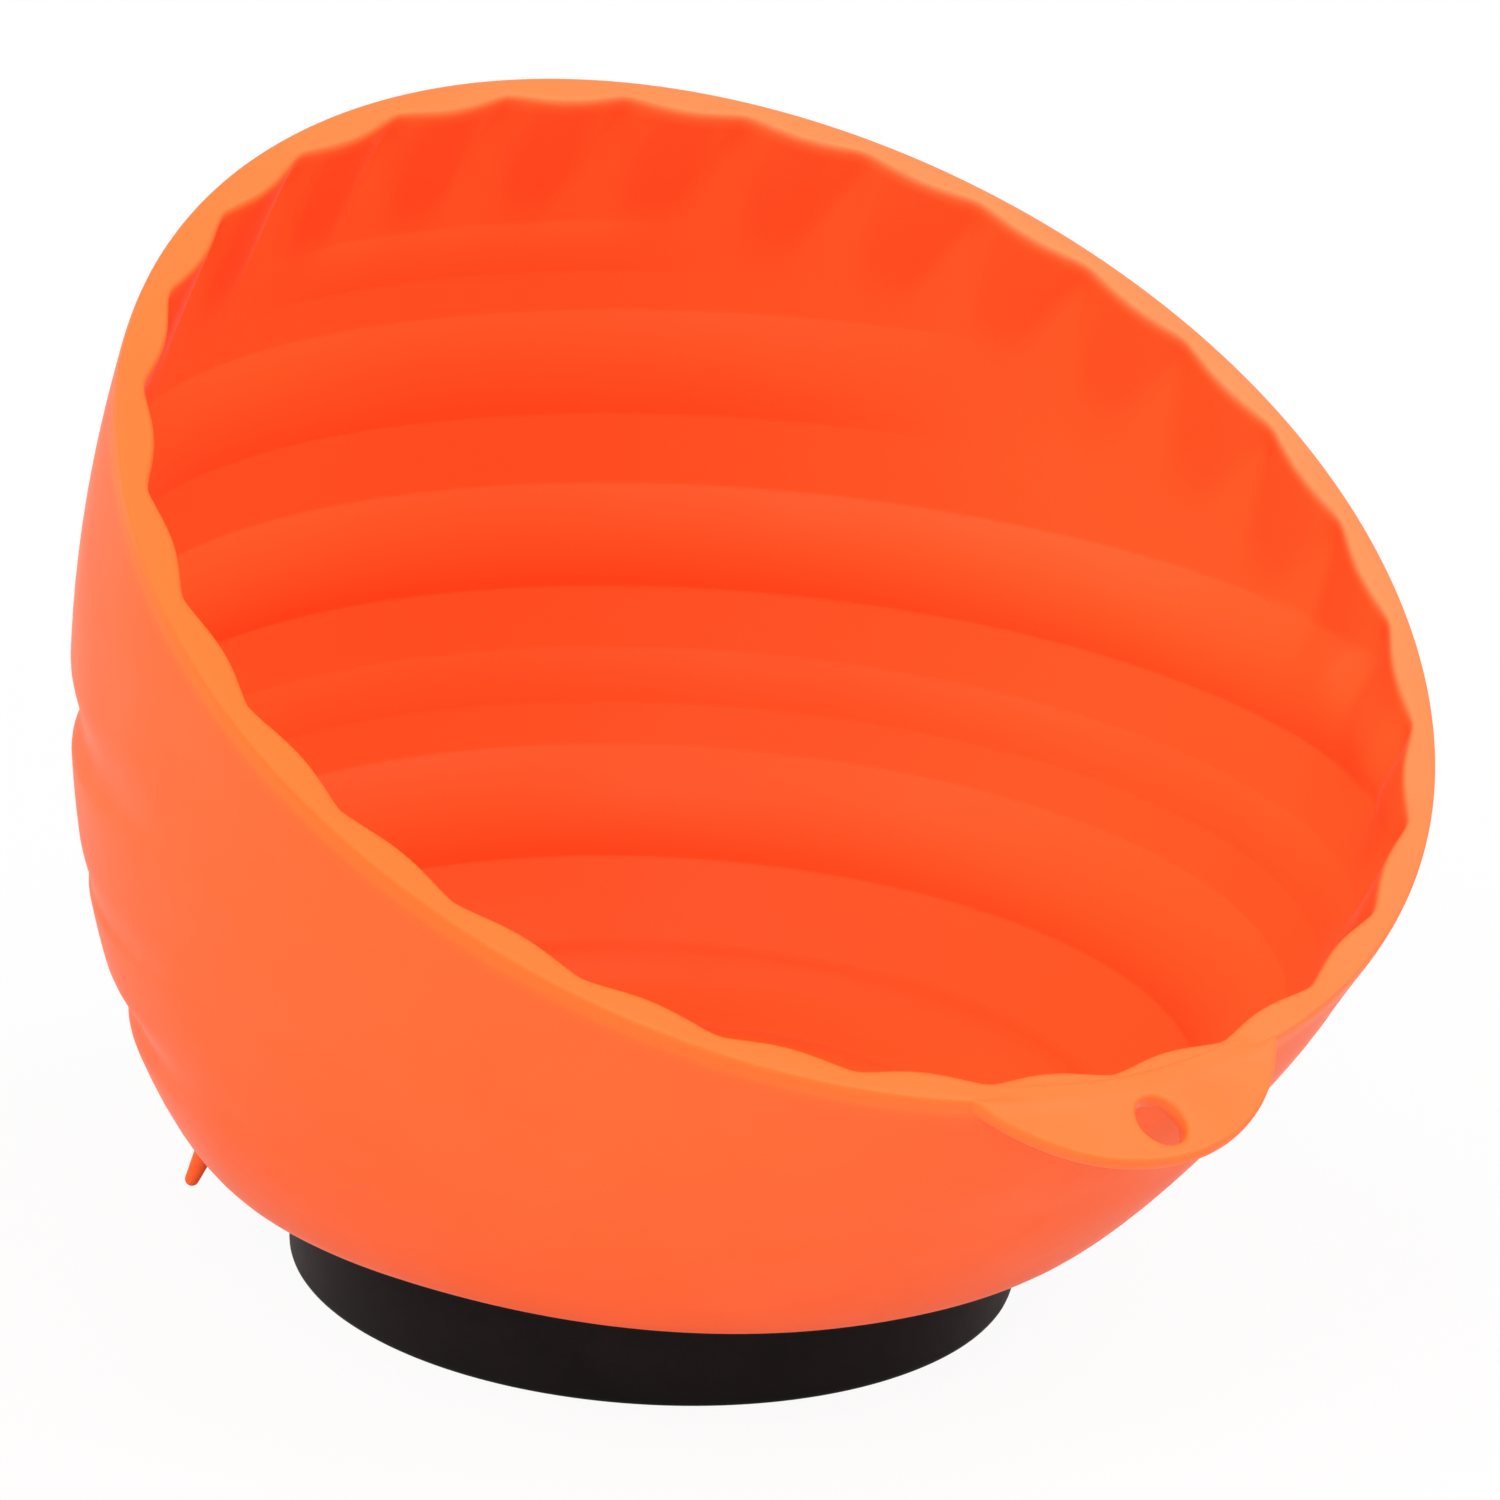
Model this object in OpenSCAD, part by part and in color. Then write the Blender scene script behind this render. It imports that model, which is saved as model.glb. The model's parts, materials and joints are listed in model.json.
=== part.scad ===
// Magnetic parts tray. A flexible bowl leans forward over a round magnet base. Its rim is cut
// on a slant, fluted inside and carries a hang tab at the low front. One screw clamps the
// bowl's floor to a steel plate on a ring magnet, and a rubber boot covers the magnet.

/* [Magnet base] */
// Outer diameter of the rubber boot
base_d = 82; // [76:1:84]
// Height of the boot, from the bench to the bowl's floor
base_h = 10.4; // [9:0.1:12]
// Thickness of the boot's floor
boot_floor = 1.2; // [0.8:0.1:1.6]
// Thickness of the boot's side wall
boot_wall = 3; // [2:0.5:4]
// Radius of the boot's lower edge
boot_edge = 0.8; // [0.4:0.1:1.2]
// Diameter of the bore in the ring magnet
magnet_bore = 24; // [16:1:30]
// Width of the chamfers on the ring magnet
magnet_chamfer = 0.6; // [0.2:0.1:1]
// Thickness of the steel carrier plate on the magnet
carrier_t = 1.8; // [1:0.1:2]

/* [Bowl] */
// Diameter of the flat foot under the bowl
foot_d = 84; // [84:0.2:88]
// Diameter of the ring where the bowl's underside turns up into its side
heel_d = 102.6; // [98:0.2:106]
// Height of that ring above the foot
heel_rise = 4.3; // [3:0.1:6]
// Thickness of the bowl's floor
floor_t = 2.6; // [2:0.2:4]
// Thickness of the bowl's wall
wall_t = 2.4; // [1.6:0.2:3]
// Diameter of the bowl at its widest
belly_d = 153.2; // [140:1:166]
// Height of the widest ring above the bench
belly_h = 100; // [90:1:110]
// Distance that the widest ring stands forward of the base
bowl_lean = 28; // [20:1:34]
// Angle that the widest ring tips forward
ring_tip = 4.2; // [0:0.2:8]
// Height of the rim's plane above the middle of the base
rim_h = 100.2; // [92:0.1:106]
// Slant of the rim's plane
rim_tilt = 34; // [28:0.5:36]

/* [Rolls in the wall] */
// Depth of the deepest roll inside the wall
roll_d = 2.4; // [1:0.1:3]
// Depth of the deepest groove outside the wall
groove_d = 1.3; // [0.4:0.1:1.4]
// Distance below the rim over which the rolls fade out
roll_fade = 12; // [6:1:20]

/* [Rim] */
// Width of the rim's top face at its narrowest
rim_w = 2.6; // [2:0.1:4]
// Height of the rounded edge outside the rim
edge_h = 2; // [1:0.1:3]
// Distance that the rounded edge draws in towards the rim's top
edge_in = 0.5; // [0.2:0.1:0.8]
// Number of flutes round the inside of the rim
flute_n = 30; // [24:2:36]
// Depth of the flutes
flute_d = 1.2; // [0.6:0.1:1.8]
// Length of the flutes down the wall
flute_l = 15; // [10:1:22]

/* [Hang tab] */
// Width of the tab where it meets the rim
tab_w = 39; // [30:1:44]
// Distance that the tab reaches out from the rim
tab_reach = 8.2; // [8:0.2:12]
// Thickness of the tab
tab_t = 1.8; // [1.4:0.1:2.4]
// Step from the rim's top face down to the tab
tab_step = 0.4; // [0.2:0.1:0.8]
// Diameter of the hang hole
hole_d = 5.5; // [4:0.5:6]
// Distance of the hang hole's middle from the rim
hole_out = 3.7; // [3.4:0.1:5]
// Turn of the tab away from the bowl's low front
tab_turn = -1.5; // [-6:0.5:6]

/* [Moulded peg] */
// Length of the peg under the bowl
peg_l = 7; // [4:0.5:8]
// Diameter of the peg at its root
peg_d = 2.6; // [1.6:0.2:3]
// Diameter of the peg's round tip
peg_tip_d = 1.6; // [1:0.1:2]
// Lean of the peg away from upright
peg_lean = 22; // [16:1:40]
// Place of the peg round the bowl
peg_turn = 149; // [100:1:200]

/* [Clamp screw] */
// Diameter of the screw
screw_d = 5; // [4:0.5:6]
// Diameter of the screw's head
head_d = 9.5; // [8:0.5:11]
// Height of the screw's head
head_h = 3.2; // [2.6:0.2:4]
// Width of each arm of the cross in the head
cross_w = 1.1; // [0.8:0.1:1.4]
// Depth of the cross in the head
cross_depth = 1.6; // [1:0.1:2]
// Length of each bar of the cross in the head
cross_l = 5; // [4:0.5:6]
// Outer diameter of the washer
washer_d = 12; // [11:0.5:16]
// Thickness of the washer
washer_t = 1; // [0.6:0.1:1.4]
// Diameter of the clamp plate on the bowl's floor
clamp_d = 40; // [30:1:56]
// Thickness of the clamp plate
clamp_t = 1.2; // [0.8:0.1:2]
// Width of the weld nut across its flats
nut_w = 8; // [7:0.5:10]
// Gap between the weld nut and the boot's floor
nut_gap = 1; // [0.6:0.1:2]

/* [Hidden] */

silicone = [1, 0.42, 0.17];
rubber_black = [0.13, 0.12, 0.12];
ferrite_grey = [0.24, 0.24, 0.26];
zinc_steel = [0.72, 0.73, 0.75];
round_fn = 96;
small_fn = 48;
hex_fn = 6;

// Clearances and the overrun of every cut
fit_gap = 0.2;
screw_gap = 0.2;
thread_gap = 0.05;
tab_gap = 0.12;
peg_gap = 0.35;
tip_gap = 0.5;
overrun = 1;

// The bowl is lofted on this many meridians, three to each flute
turn_n = 3 * flute_n;
foot_r = foot_d / 2;
heel_r = heel_d / 2;
heel_h = base_h + heel_rise;
belly_r = belly_d / 2;
floor_z = base_h + floor_t;
screw_r = screw_d / 2;
screw_hole_r = screw_r + screw_gap;

// Shape of the bowl's side, as powers and shares of the sizes above
flare_share = 0.8;
lean_line_share = 0.61;

// Rolls in the wall from the floor up: start and end as shares of the belly's height, depth
// inside, and depth of the groove outside. The lowest is a hollow
roll_shares = [
    [0.145, 0.189, -0.3, 0],
    [0.279, 0.405, 1, 1],
    [0.455, 0.519, 0.45, 0.3],
    [0.592, 0.715, 1, 0.95],
    [0.799, 0.923, 0.4, 0]
];
inner_row_shares = [0, 0.08, 0.28, 0.5, 0.72, 0.92, 1];
outer_row_shares = [0, 0.2, 0.4, 0.7, 1];
groove_low_share = 0.4;
groove_front_share = 0.12;
groove_fade_share = 0.35;
cup_row_shares = [0, 0.05, 0.16, 0.32, 0.5, 0.72];
crown_row_shares = [0.22, 0.46, 0.7, 0.92, 0.975, 1];
cup_top_share = 0.235;
pleat_top_share = 0.425;
rim_squeeze_share = 0.3;
cup_top = cup_top_share * belly_h;
pleat_top = pleat_top_share * belly_h;

function rise(s, low) = min(max((s - low) / (belly_h - low), 0), 1);
function flare(u) = pow(1 - pow(1 - u, 2), flare_share);
function ease(x) = x <= 0 ? 0 : x >= 1 ? 1 : x * x * (3 - 2 * x);
function sum(list, i = 0) = i == len(list) ? 0 : list[i] + sum(list, i + 1);

// A ring at height s leans and tips forward more, the higher it stands
function climb(s) = max(s - floor_z, 0) / (belly_h - floor_z);
function ring_y(s) =
    -bowl_lean * (lean_line_share * climb(s) + (1 - lean_line_share) * pow(climb(s), 2));
function ring_angle(s) = ring_tip * climb(s);
function bowl_point(s, turn, r) = [
    r * cos(turn),
    ring_y(s) + r * sin(turn) * cos(ring_angle(s)),
    s + r * sin(turn) * sin(ring_angle(s))
];

// Rolls swell inwards, and grooves follow them outside but fade towards the front
function swell(x) = x <= 0 || x >= 1 ? 0 : 4 * x * (1 - x);
function dip(x) =
    x < groove_low_share ? ease(x / groove_low_share) : ease((1 - x) / (1 - groove_low_share));
function groove_fade(turn) =
    groove_front_share + (1 - groove_front_share) * ease(sin(turn) / groove_fade_share);
function roll(s) = roll_d * sum([
    for (r = roll_shares) r[2] * swell((s / belly_h - r[0]) / (r[1] - r[0]))
]);
function groove(s, turn) = groove_d * groove_fade(turn) * sum([
    for (r = roll_shares) r[3] * dip((s / belly_h - r[0]) / (r[1] - r[0]))
]);
flute_share = 0.65;
flute_fade_share = 0.55;
function flute(turn) = flute_d * pow((1 + cos(flute_n * turn)) / 2, flute_share);

// Radius of the wall at height s, a distance below the rim
function bowl_r(s, foot, heel) =
    s < heel
        ? foot_r + (heel_r - foot_r) * (s - foot) / (heel - foot)
        : heel_r + (belly_r - heel_r) * flare(rise(s, heel));
function side_r(s) = bowl_r(s, base_h, heel_h);
function hollow_r(s) = bowl_r(s, floor_z, heel_h + floor_t) - wall_t;
function edge_round(below) =
    below >= edge_h ? 0 : edge_in * (1 - sqrt(1 - pow(1 - below / edge_h, 2)));
function outer_r(s, turn, below) =
    side_r(s) - groove(s, turn) * ease(below / roll_fade) - edge_round(below);
function inner_r(s, turn, below) =
    hollow_r(s) - roll(s) * ease(below / roll_fade)
    - (rim_w + edge_in - side_r(s) + hollow_r(s) + flute(turn))
    * ease((1 - below / flute_l) / flute_fade_share);
function wall_r(s, turn, below, inside) =
    inside ? inner_r(s, turn, below) : outer_r(s, turn, below);

// Height of the ring that meets the rim's plane on one meridian, found by stepping towards it
step_share = 0.5;
step_n = 40;
function rim_miss(p) = rim_h + p[1] * tan(rim_tilt) - p[2];
function rim_s(turn, inside, s = belly_h, n = step_n) =
    n == 0 ? s : rim_s(
        turn, inside,
        s + step_share * rim_miss(bowl_point(s, turn, wall_r(s, turn, 0, inside))),
        n - 1);

// Rows stay level up the wall, and those above the rim's plane are drawn in just under it
function squeezed(s, edge, top, band) =
    s <= edge - band ? s : edge - band + band * (s - edge + band) / (top - edge + band);

// A closed ring of skin, from one loop of points on each meridian
module ring_loft(loops) {
    n = len(loops);
    m = len(loops[0]);
    polyhedron(
        points = [for (loop = loops) each loop],
        faces = [
            for (i = [0 : n - 1], j = [0 : m - 1])
                let (
                    a = i * m + j,
                    b = i * m + (j + 1) % m,
                    c = (i + 1) % n * m + (j + 1) % m,
                    d = (i + 1) % n * m + j
                )
                each [[a, c, b], [a, d, c]]
        ]
    );
}

function turns() = [for (i = [0 : turn_n - 1]) i * 360 / turn_n];
function reversed(list) = [for (i = [len(list) - 1 : -1 : 0]) list[i]];
function level_rows(low, high, shares) = [for (k = shares) low + k * (high - low)];

// Floor and foot of the bowl, up to the pleat that folds
module bowl_cup() {
    outer = concat(level_rows(base_h, cup_top, cup_row_shares), [cup_top]);
    inner = concat(level_rows(floor_z, cup_top, cup_row_shares), [cup_top]);
    far = belly_h;
    color(silicone) ring_loft([
        for (turn = turns()) concat(
            [bowl_point(base_h, turn, screw_hole_r)],
            [for (s = outer) bowl_point(s, turn, outer_r(s, turn, far))],
            [for (s = reversed(inner)) bowl_point(s, turn, inner_r(s, turn, far))],
            [bowl_point(floor_z, turn, screw_hole_r)]
        )
    ]);
}

// Wall of the deepest roll, which folds when the bowl is pressed down
module pleat_wall() {
    fold = roll_shares[1] * belly_h;
    outer = concat([cup_top], level_rows(fold[0], fold[1], outer_row_shares), [pleat_top]);
    inner = concat([cup_top], level_rows(fold[0], fold[1], inner_row_shares), [pleat_top]);
    far = belly_h;
    color(silicone) ring_loft([
        for (turn = turns()) concat(
            [for (s = outer) bowl_point(s, turn, outer_r(s, turn, far))],
            [for (s = reversed(inner)) bowl_point(s, turn, inner_r(s, turn, far))]
        )
    ]);
}

// Upper wall with its rolls, the slanting rim with its rounded edge, and the flutes
function hood_rows(shares, top) = concat(
    [pleat_top],
    [for (i = [2 : len(roll_shares) - 1])
        each level_rows(roll_shares[i][0] * belly_h, roll_shares[i][1] * belly_h, shares)],
    level_rows(roll_shares[len(roll_shares) - 1][1] * belly_h, top, crown_row_shares)
);
function hood_side(turn, inside, top, shares) =
    let (
        edge = rim_s(turn, inside),
        band = min((edge - pleat_top) * (1 - rim_squeeze_share), flute_l)
    )
    [for (row = hood_rows(shares, top))
        let (s = squeezed(row, edge, top, band))
        bowl_point(s, turn, wall_r(s, turn, edge - s, inside))];
module bowl_hood() {
    outer_top = rim_s(90, false);
    inner_top = rim_s(90, true);
    color(silicone) ring_loft([
        for (turn = turns()) concat(
            hood_side(turn, false, outer_top, outer_row_shares),
            reversed(hood_side(turn, true, inner_top, inner_row_shares))
        )
    ]);
}

// Flat tab with its hang hole, in the rim's plane
rim_front_s = rim_s(270, false);
rim_front = bowl_point(rim_front_s, 270, side_r(rim_front_s));
rim_near_turn = 282;
rim_near_s = rim_s(rim_near_turn, false);
rim_near = bowl_point(rim_near_s, rim_near_turn, side_r(rim_near_s));
rim_near_drop = norm([rim_near[1] - rim_front[1], rim_near[2] - rim_front[2]]);
rim_arc_r = (pow(rim_near[0], 2) + pow(rim_near_drop, 2)) / (2 * rim_near_drop);
tab_half = tab_w / 2;
tab_drop = rim_arc_r - sqrt(pow(rim_arc_r, 2) - pow(tab_half, 2));
tab_r = (pow(tab_half, 2) + pow(tab_reach + tab_drop, 2)) / (2 * (tab_reach + tab_drop));
module hang_tab() {
    color(silicone)
        translate(rim_front) rotate([rim_tilt, 0, 0])
            translate([0, rim_arc_r, 0]) rotate([0, 0, tab_turn])
                translate([0, -rim_arc_r, -tab_step - tab_t])
                    difference() {
                        linear_extrude(tab_t)
                            difference() {
                                translate([0, tab_r - tab_reach]) circle(tab_r, $fn = round_fn);
                                translate([0, rim_arc_r])
                                    circle(rim_arc_r + tab_gap, $fn = 2 * round_fn);
                            }
                        translate([0, -hole_out, -overrun])
                            cylinder(tab_t + 2 * overrun, d = hole_d, $fn = small_fn);
                    }
}

// Tapered peg with a round tip, moulded under the back of the bowl
peg_root_share = 0.275;
peg_root_s = base_h + peg_root_share * (cup_top - base_h);
module moulded_peg() {
    color(silicone)
        translate(bowl_point(peg_root_s, peg_turn, outer_r(peg_root_s, peg_turn, belly_h)))
            rotate([0, 180 - peg_lean, peg_turn]) translate([0, 0, peg_gap]) {
                shank = peg_l - peg_tip_d / 2;
                cylinder(shank, d1 = peg_d, d2 = peg_tip_d, $fn = small_fn);
                translate([0, 0, shank]) sphere(d = peg_tip_d, $fn = small_fn);
            }
}

// Rubber boot round the magnet, with a rounded lower edge
arc_n = 8;
base_r = base_d / 2;
boot_r = base_r - boot_wall;
module base_boot() {
    color(rubber_black)
        rotate_extrude($fn = round_fn)
            polygon(concat(
                [[0, 0]],
                [for (i = [0 : arc_n])
                    let (a = 90 * i / arc_n)
                    [base_r - boot_edge + boot_edge * sin(a), boot_edge - boot_edge * cos(a)]],
                [[base_r, base_h], [boot_r, base_h], [boot_r, boot_floor], [0, boot_floor]]
            ));
}

// Ring magnet with chamfered edges
magnet_r = boot_r - fit_gap;
magnet_t = base_h - boot_floor - carrier_t;
module ring_magnet() {
    color(ferrite_grey)
        translate([0, 0, boot_floor]) rotate_extrude($fn = round_fn)
            polygon([
                [magnet_bore / 2, 0],
                [magnet_r - magnet_chamfer, 0],
                [magnet_r, magnet_chamfer],
                [magnet_r, magnet_t - magnet_chamfer],
                [magnet_r - magnet_chamfer, magnet_t],
                [magnet_bore / 2, magnet_t]
            ]);
}

// A round plate with a hole for the screw
module plate(r, t) {
    difference() {
        cylinder(t, r = r, $fn = round_fn);
        translate([0, 0, -overrun])
            cylinder(t + 2 * overrun, r = screw_hole_r, $fn = small_fn);
    }
}

// Steel plate between the magnet and the bowl's floor
carrier_z = base_h - carrier_t;
module carrier_plate() {
    color(zinc_steel) translate([0, 0, carrier_z]) plate(magnet_r, carrier_t);
}

// Nut welded under the carrier plate, in the magnet's bore
nut_r = nut_w / 2 / cos(180 / hex_fn);
nut_h = magnet_t - nut_gap;
module weld_nut() {
    color(zinc_steel)
        translate([0, 0, carrier_z - nut_h])
            difference() {
                cylinder(nut_h, r = nut_r, $fn = hex_fn);
                translate([0, 0, -overrun])
                    cylinder(nut_h + 2 * overrun, r = screw_r + thread_gap, $fn = small_fn);
            }
}

// Steel plate that spreads the screw's load over the bowl's floor
module clamp_plate() {
    color(zinc_steel) translate([0, 0, floor_z]) plate(clamp_d / 2, clamp_t);
}

washer_z = floor_z + clamp_t;
module screw_washer() {
    color(zinc_steel) translate([0, 0, washer_z]) plate(washer_d / 2, washer_t);
}

// Pan head screw with a cross in its domed head
head_z = washer_z + washer_t;
head_r = head_d / 2;
head_side_share = 0.45;
head_side = head_h * head_side_share;
tip_z = boot_floor + tip_gap;
module clamp_screw() {
    color(zinc_steel)
        difference() {
            union() {
                translate([0, 0, tip_z]) cylinder(head_z - tip_z, r = screw_r, $fn = small_fn);
                translate([0, 0, head_z]) rotate_extrude($fn = small_fn)
                    polygon(concat(
                        [[0, 0], [head_r, 0]],
                        [for (i = [0 : arc_n])
                            let (a = 90 * i / arc_n)
                            [head_r * cos(a), head_side + (head_h - head_side) * sin(a)]]
                    ));
            }
            translate([0, 0, head_z + head_h - cross_depth])
                for (a = [0, 90]) rotate([0, 0, a])
                    translate([-cross_l / 2, -cross_w / 2, 0])
                        cube([cross_l, cross_w, cross_depth + overrun]);
        }
}

bowl_cup();
pleat_wall();
bowl_hood();
hang_tab();
moulded_peg();
base_boot();
ring_magnet();
carrier_plate();
weld_nut();
clamp_plate();
screw_washer();
clamp_screw();
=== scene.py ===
import json
import math

import bmesh
import bpy
import numpy as np
from bpy.props import FloatProperty, FloatVectorProperty, IntProperty, PointerProperty
from mathutils import Matrix, Vector

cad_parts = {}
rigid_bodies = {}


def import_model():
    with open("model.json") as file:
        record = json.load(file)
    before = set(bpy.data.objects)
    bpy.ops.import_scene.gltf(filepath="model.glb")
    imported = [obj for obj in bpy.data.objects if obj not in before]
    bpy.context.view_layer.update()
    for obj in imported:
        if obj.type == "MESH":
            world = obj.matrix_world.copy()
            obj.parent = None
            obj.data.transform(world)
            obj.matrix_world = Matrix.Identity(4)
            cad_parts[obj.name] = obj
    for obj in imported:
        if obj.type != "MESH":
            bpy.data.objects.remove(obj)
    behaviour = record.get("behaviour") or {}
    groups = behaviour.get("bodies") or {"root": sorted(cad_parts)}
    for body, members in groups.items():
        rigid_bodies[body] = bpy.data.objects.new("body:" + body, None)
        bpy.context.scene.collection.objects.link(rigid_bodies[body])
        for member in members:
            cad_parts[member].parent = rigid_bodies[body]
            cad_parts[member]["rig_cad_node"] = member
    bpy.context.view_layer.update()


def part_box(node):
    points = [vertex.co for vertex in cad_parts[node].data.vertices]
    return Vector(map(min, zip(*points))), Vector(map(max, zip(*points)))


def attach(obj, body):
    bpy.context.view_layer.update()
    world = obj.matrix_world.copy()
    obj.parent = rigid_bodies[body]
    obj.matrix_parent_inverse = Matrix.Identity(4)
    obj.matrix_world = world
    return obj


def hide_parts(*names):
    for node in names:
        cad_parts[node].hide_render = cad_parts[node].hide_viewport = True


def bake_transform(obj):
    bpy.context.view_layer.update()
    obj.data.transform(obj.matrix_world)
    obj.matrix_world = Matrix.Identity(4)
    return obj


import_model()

bl_info = {
    "name": "Magnetic parts tray",
    "version": (1, 0, 0),
    "blender": (4, 5, 0),
    "location": "View3D > Sidebar > Parts tray",
    "description": "Dresses the parts tray: silicone bowl, tab, peg, rubber boot, clamp and stage",
    "category": "Add Mesh",
}

MM = 0.001
BOOT_LOW, BOOT_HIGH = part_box("base_boot")
CLAMP_LOW, CLAMP_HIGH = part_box("clamp_plate")
WASHER_LOW, WASHER_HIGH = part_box("screw_washer")
SCREW_LOW, SCREW_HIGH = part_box("clamp_screw")
# the deepest roll folds between these heights, where the bowl's blend starts and ends
FOLD_LOW, FOLD_HIGH = 23.5 * MM, 42.5 * MM


# Sizes and colours


def length(name, description, default):
    return FloatProperty(name=name, description=description, default=default, unit="LENGTH", precision=5)


def angle(name, description, degrees):
    return FloatProperty(
        name=name, description=description, default=math.radians(degrees), subtype="ANGLE"
    )


def colour(name, description, default):
    return FloatVectorProperty(
        name=name, description=description, default=default, subtype="COLOR", size=3, min=0.0, max=1.0
    )


class TrayBowlSizes(bpy.types.PropertyGroup):
    foot_d: length("Foot diameter", "Flat foot under the bowl", 84 * MM)
    heel_d: length("Heel diameter", "Ring where the underside turns up into the side", 102.6 * MM)
    heel_rise: length("Heel rise", "Height of that ring above the foot", 4.3 * MM)
    foot_z: length("Foot height", "Bench to the bowl's foot", BOOT_HIGH[2])
    floor_z: length("Floor height", "Bench to the bowl's floor", CLAMP_LOW[2])
    hole_d: length("Screw hole", "Diameter of the hole in the floor", 5.4 * MM)
    wall: length("Wall", "Thickness of the bowl's wall", 2.4 * MM)
    belly_d: length("Belly diameter", "The bowl at its widest", 153.2 * MM)
    belly_z: length("Belly height", "Height of the widest ring", 100 * MM)
    lean: length("Lean", "How far the widest ring stands forward", 28 * MM)
    tip: angle("Tip", "How far the widest ring tips forward", 4.2)
    rim_z: length("Rim height", "Rim's plane above the middle of the base", 100.2 * MM)
    rim_tilt: angle("Rim slant", "Slant of the rim's plane", 34)
    roll_depth: length("Roll depth", "Deepest roll inside the wall", 1.7 * MM)
    groove_depth: length("Groove depth", "Deepest groove outside the wall", 1.35 * MM)
    roll_fade: length("Roll fade", "Distance below the rim over which rolls fade", 12 * MM)
    rim_width: length("Rim width", "Rim's top face at its narrowest", 2.6 * MM)
    edge_high: length("Outer edge height", "Height of the rounded outer edge", 2.0 * MM)
    edge_in: length("Outer edge inset", "How far the outer edge draws in", 0.5 * MM)
    inner_edge: length("Inner edge", "Rounding of the rim's inner edge", 0.7 * MM)
    flutes: IntProperty(name="Flutes", description="Flutes inside the rim", default=30)
    flute_depth: length("Flute depth", "Depth of the flutes", 1.2 * MM)
    flute_recess: length("Flute recess", "How far the wall draws back below the flutes", 0.4 * MM)
    sag: length("Sag", "How far the lower wall hangs down at its right front", 1.15 * MM)
    spin_steps: IntProperty(name="Steps", description="Meridians of the bowl's skin", default=450)


class TrayFittingSizes(bpy.types.PropertyGroup):
    tab_width: length("Tab width", "Tab where it meets the rim", 39 * MM)
    tab_reach: length("Tab reach", "How far the tab stands out", 8.2 * MM)
    tab_thick: length("Tab thickness", "Thickness of the tab", 1.8 * MM)
    tab_root: length("Tab root", "How far the tab reaches into the rim", 2.2 * MM)
    tab_step: length("Tab step", "Step from the rim down to the tab", 0.2 * MM)
    tab_turn: angle("Tab turn", "Turn away from the low front", -1.5)
    hang_hole: length("Hang hole", "Diameter of the hang hole", 5.5 * MM)
    hang_out: length("Hang hole place", "Hole's middle from the rim", 3.7 * MM)
    peg_length: length("Peg length", "Length of the peg", 7.0 * MM)
    peg_root: length("Peg root", "Diameter at the peg's root", 2.6 * MM)
    peg_tip: length("Peg tip", "Diameter at the peg's tip", 1.6 * MM)
    peg_lean: angle("Peg lean", "Lean away from upright", 22)
    peg_turn: angle("Peg place", "Place of the peg round the bowl", 149)
    boot_wall: length("Boot wall", "Thickness of the boot's side", 3.0 * MM)
    boot_floor: length("Boot floor", "Thickness of the boot's floor", 1.2 * MM)
    boot_foot_round: length("Boot foot rounding", "Rounding of the boot's lower edge", 1.0 * MM)
    boot_top_round: length("Boot top rounding", "Rounding of the boot's upper edges", 0.3 * MM)


class TrayColours(bpy.types.PropertyGroup):
    silicone: colour("Silicone", "Moulded wall", (0.985, 0.13, 0.026))
    # painted glow: light coming through the thin rim, drawn into its colour
    silicone_edge_glow: colour("Silicone edge", "Thin rim that lets light through", (1.0, 0.16, 0.02))
    # painted highlight: the rim drawn paler at the back right, as light shines off it there
    silicone_rim_highlight: colour("Pale silicone", "Rim where most light comes through it", (1.0, 0.225, 0.075))
    silicone_grain: colour("Silicone grain", "Fine pale specks", (1.0, 0.18, 0.04))
    # painted shade: the ribs under the rim drawn darker where the rim's crests shade them
    silicone_rib_shade: colour("Thick silicone", "Ribs under the rim, deeper in colour", (0.9, 0.065, 0.014))
    rubber: colour("Rubber", "Boot round the magnet", (0.0052, 0.0043, 0.0044))
    ferrite: colour("Ferrite", "Sintered ring magnet", (0.05, 0.05, 0.055))
    zinc: colour("Zinc", "Zinc-plated steel", (0.62, 0.63, 0.65))
    floor: colour("Floor", "Studio floor", (0.82, 0.82, 0.82))


# Shader maths


class Value:
    """A socket in a material; arithmetic on it adds Math nodes."""

    def __init__(self, paint, socket):
        self.paint = paint
        self.socket = socket

    def maths(self, operation, *values):
        return self.paint.add("ShaderNodeMath", {"operation": operation}, dict(enumerate(values)))

    def __add__(self, other):
        return self.maths("ADD", self, other)

    def __mul__(self, other):
        return self.maths("MULTIPLY", self, other)


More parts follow.
